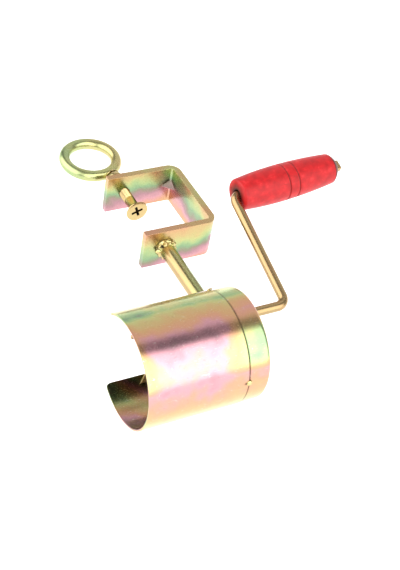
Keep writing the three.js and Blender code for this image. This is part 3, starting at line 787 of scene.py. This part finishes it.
fork_low, fork_high = box_of("winding_fork")
fork_way = np.array([0, np.cos(FORK_TURN), np.sin(FORK_TURN)])
apex = np.array([fork_high[0] - WIRE_R, BEARING_Y, 0])
tip = np.array([fork_low[0], BEARING_Y, 0])
half = FORK_HALF * fork_way
fork_line = spaced(rounded([tip + half, apex + half, apex - half, tip - half], FORK_HALF - 0.1, 20), 1.0)
fork_grid = swept(fork_line, WIRE_R, np.cross(fork_way, along_x), 24, WIRE_END)
fork = skin("winding_fork_plated", fork_grid, (False, True))
finish(fork, crank_finish, "crank", "rod_chromate", "winding_fork")
low, high = box_of("fork_weld")
foot = (low[0], BEARING_Y, 0)
fork_bead = bead("fork_weld_plated", foot, along_x, CRANK_R, high[2], high[0] - low[0], 29, 0.25)
finish(fork_bead, weld_finish, "crank", "weld_bead", "fork_weld")


# ---- Grip ----
# A turned hardwood handle, dipped in red lacquer, with two burnt grooves and a counterbore at its end;
# it turns freely on the stub.
GRIP_FACE = 3.6
GRIP_LONG = 85.3
NEAR_R = 11.5
WAIST_R = 13.7
WAIST = 36.0
FAR_R = 10.9
NEAR_ROUND = 1.6
FAR_ROUND = 4.0
BORE_R = 4.0
MOUTH_R = 6.6
MOUTH_DEPTH = 10.0
GROOVES = (38.1, 46.6)
GROOVE_HALF = 0.7
GROOVE_DEPTH = 0.7
FAR_BURN = 4.7  # how much of the far end is burnt dark
PORE = 0.7

# The outline is two half parabolas that meet at the waist, less the rounded ends and the grooves.
near_grooves = [groove + np.linspace(-1.3, 1.3, 27) for groove in GROOVES]
s = np.unique(np.concatenate([np.linspace(0, GRIP_LONG, 180), *near_grooves]))
ends = np.where(s < WAIST, NEAR_R, FAR_R)
spans = np.where(s < WAIST, WAIST, GRIP_LONG - WAIST)
girth = ends + (WAIST_R - ends) * (1 - (np.abs(s - WAIST) / spans) ** 2)
into_near = np.clip(NEAR_ROUND - s, 0, None)
into_far = np.clip(FAR_ROUND - (GRIP_LONG - s), 0, None)
girth -= NEAR_ROUND - np.sqrt(NEAR_ROUND**2 - into_near**2)
girth -= 0.55 * into_far + 0.25 * into_far**2 / FAR_ROUND
for groove in GROOVES:
    girth -= GROOVE_DEPTH * np.clip(1 - ((s - groove) / GROOVE_HALF) ** 2, 0, 1)
outline = list(zip(s, girth))
outline += [(GRIP_LONG, MOUTH_R + 0.4), (GRIP_LONG - 0.4, MOUTH_R)]
mouth_end = GRIP_LONG - MOUTH_DEPTH
outline += [(at, MOUTH_R) for at in np.linspace(GRIP_LONG - 1, mouth_end, 8)]
outline += [(at, BORE_R) for at in np.linspace(mouth_end, 0.4, 12)]
outline += [(0, BORE_R + 0.4)]
grip_grid = turned(outline, GRIP_AT + GRIP_FACE * GRIP_WAY, GRIP_WAY, 96)
grip = skin("grip_lacquered", grip_grid, (True, True))
places = points_of(grip) - GRIP_AT
along = places @ GRIP_WAY - GRIP_FACE
radius = np.linalg.norm(places - (along + GRIP_FACE)[:, None] * GRIP_WAY, axis=-1)
burnt_and_painted_shade = sum(0.6 * np.exp(-(((along - groove) / 0.5) ** 4)) for groove in GROOVES)
# Inside the bore and its mouth the wood is painted dark as painted shade; the grooves and the far end are
# burnt.
burnt_and_painted_shade = burnt_and_painted_shade + 0.9 * (along > GRIP_LONG - FAR_BURN) + (radius < MOUTH_R + 0.2)
keep(grip, "burnt_and_painted_shade", np.clip(burnt_and_painted_shade, 0, 1))

# Red lacquer over open-grained wood: a soft satin highlight, darker specks where pores show, and
# brown-black in the burnt grooves; the same brown-black in the bore is painted shade.
lacquer = bpy.data.materials.new("red_lacquered_wood")
lacquer.use_nodes = True
tree = lacquer.node_tree
tree.nodes.clear()
place = add(tree, "ShaderNodeTexCoord").outputs["Object"]
along_grain = add(tree, "ShaderNodeMapping", {"Vector": place, "Scale": (0.12, 1.0, 1.0)}).outputs[0]
pores = {"Vector": along_grain, "Scale": 1 / (PORE * MM), "Detail": 5.0}
pores = add(tree, "ShaderNodeTexNoise", pores).outputs["Fac"]
cloud = {"Vector": place, "Scale": 1 / (5 * MM), "Detail": 6.0}
cloud = add(tree, "ShaderNodeTexNoise", cloud).outputs["Fac"]
reds = [(0.32, linear("#980E12")), (0.6, linear("#B4161A")), (0.74, linear("#CA2A2E"))]
red = add(tree, "ShaderNodeValToRGB", {0: cloud}, stops=reds).outputs["Color"]
open_pores = add(tree, "ShaderNodeMapRange", {0: pores, 1: 0.56, 2: 0.72, 4: 0.55}).outputs[0]
pored = {0: open_pores, 6: red, 7: linear("#8A1612")}
pored = add(tree, "ShaderNodeMix", pored, data_type="RGBA").outputs[2]
burn_and_shade = add(tree, "ShaderNodeAttribute", attribute_name="burnt_and_painted_shade").outputs["Fac"]
colour = {0: burn_and_shade, 6: pored, 7: linear("#3A0E0A")}
colour = add(tree, "ShaderNodeMix", colour, data_type="RGBA").outputs[2]
dents = add(tree, "ShaderNodeBump", {"Height": pores, "Strength": 0.4, "Distance": 0.08 * MM}).outputs[0]
wood_look = {"Base Color": colour, "Roughness": 0.45, "Normal": dents, "Specular IOR Level": 0.3}
wood = add(tree, "ShaderNodeBsdfPrincipled", wood_look)
add(tree, "ShaderNodeOutputMaterial", {0: wood.outputs[0]})
finish(grip, lacquer, "grip", "red_wood", "grip")
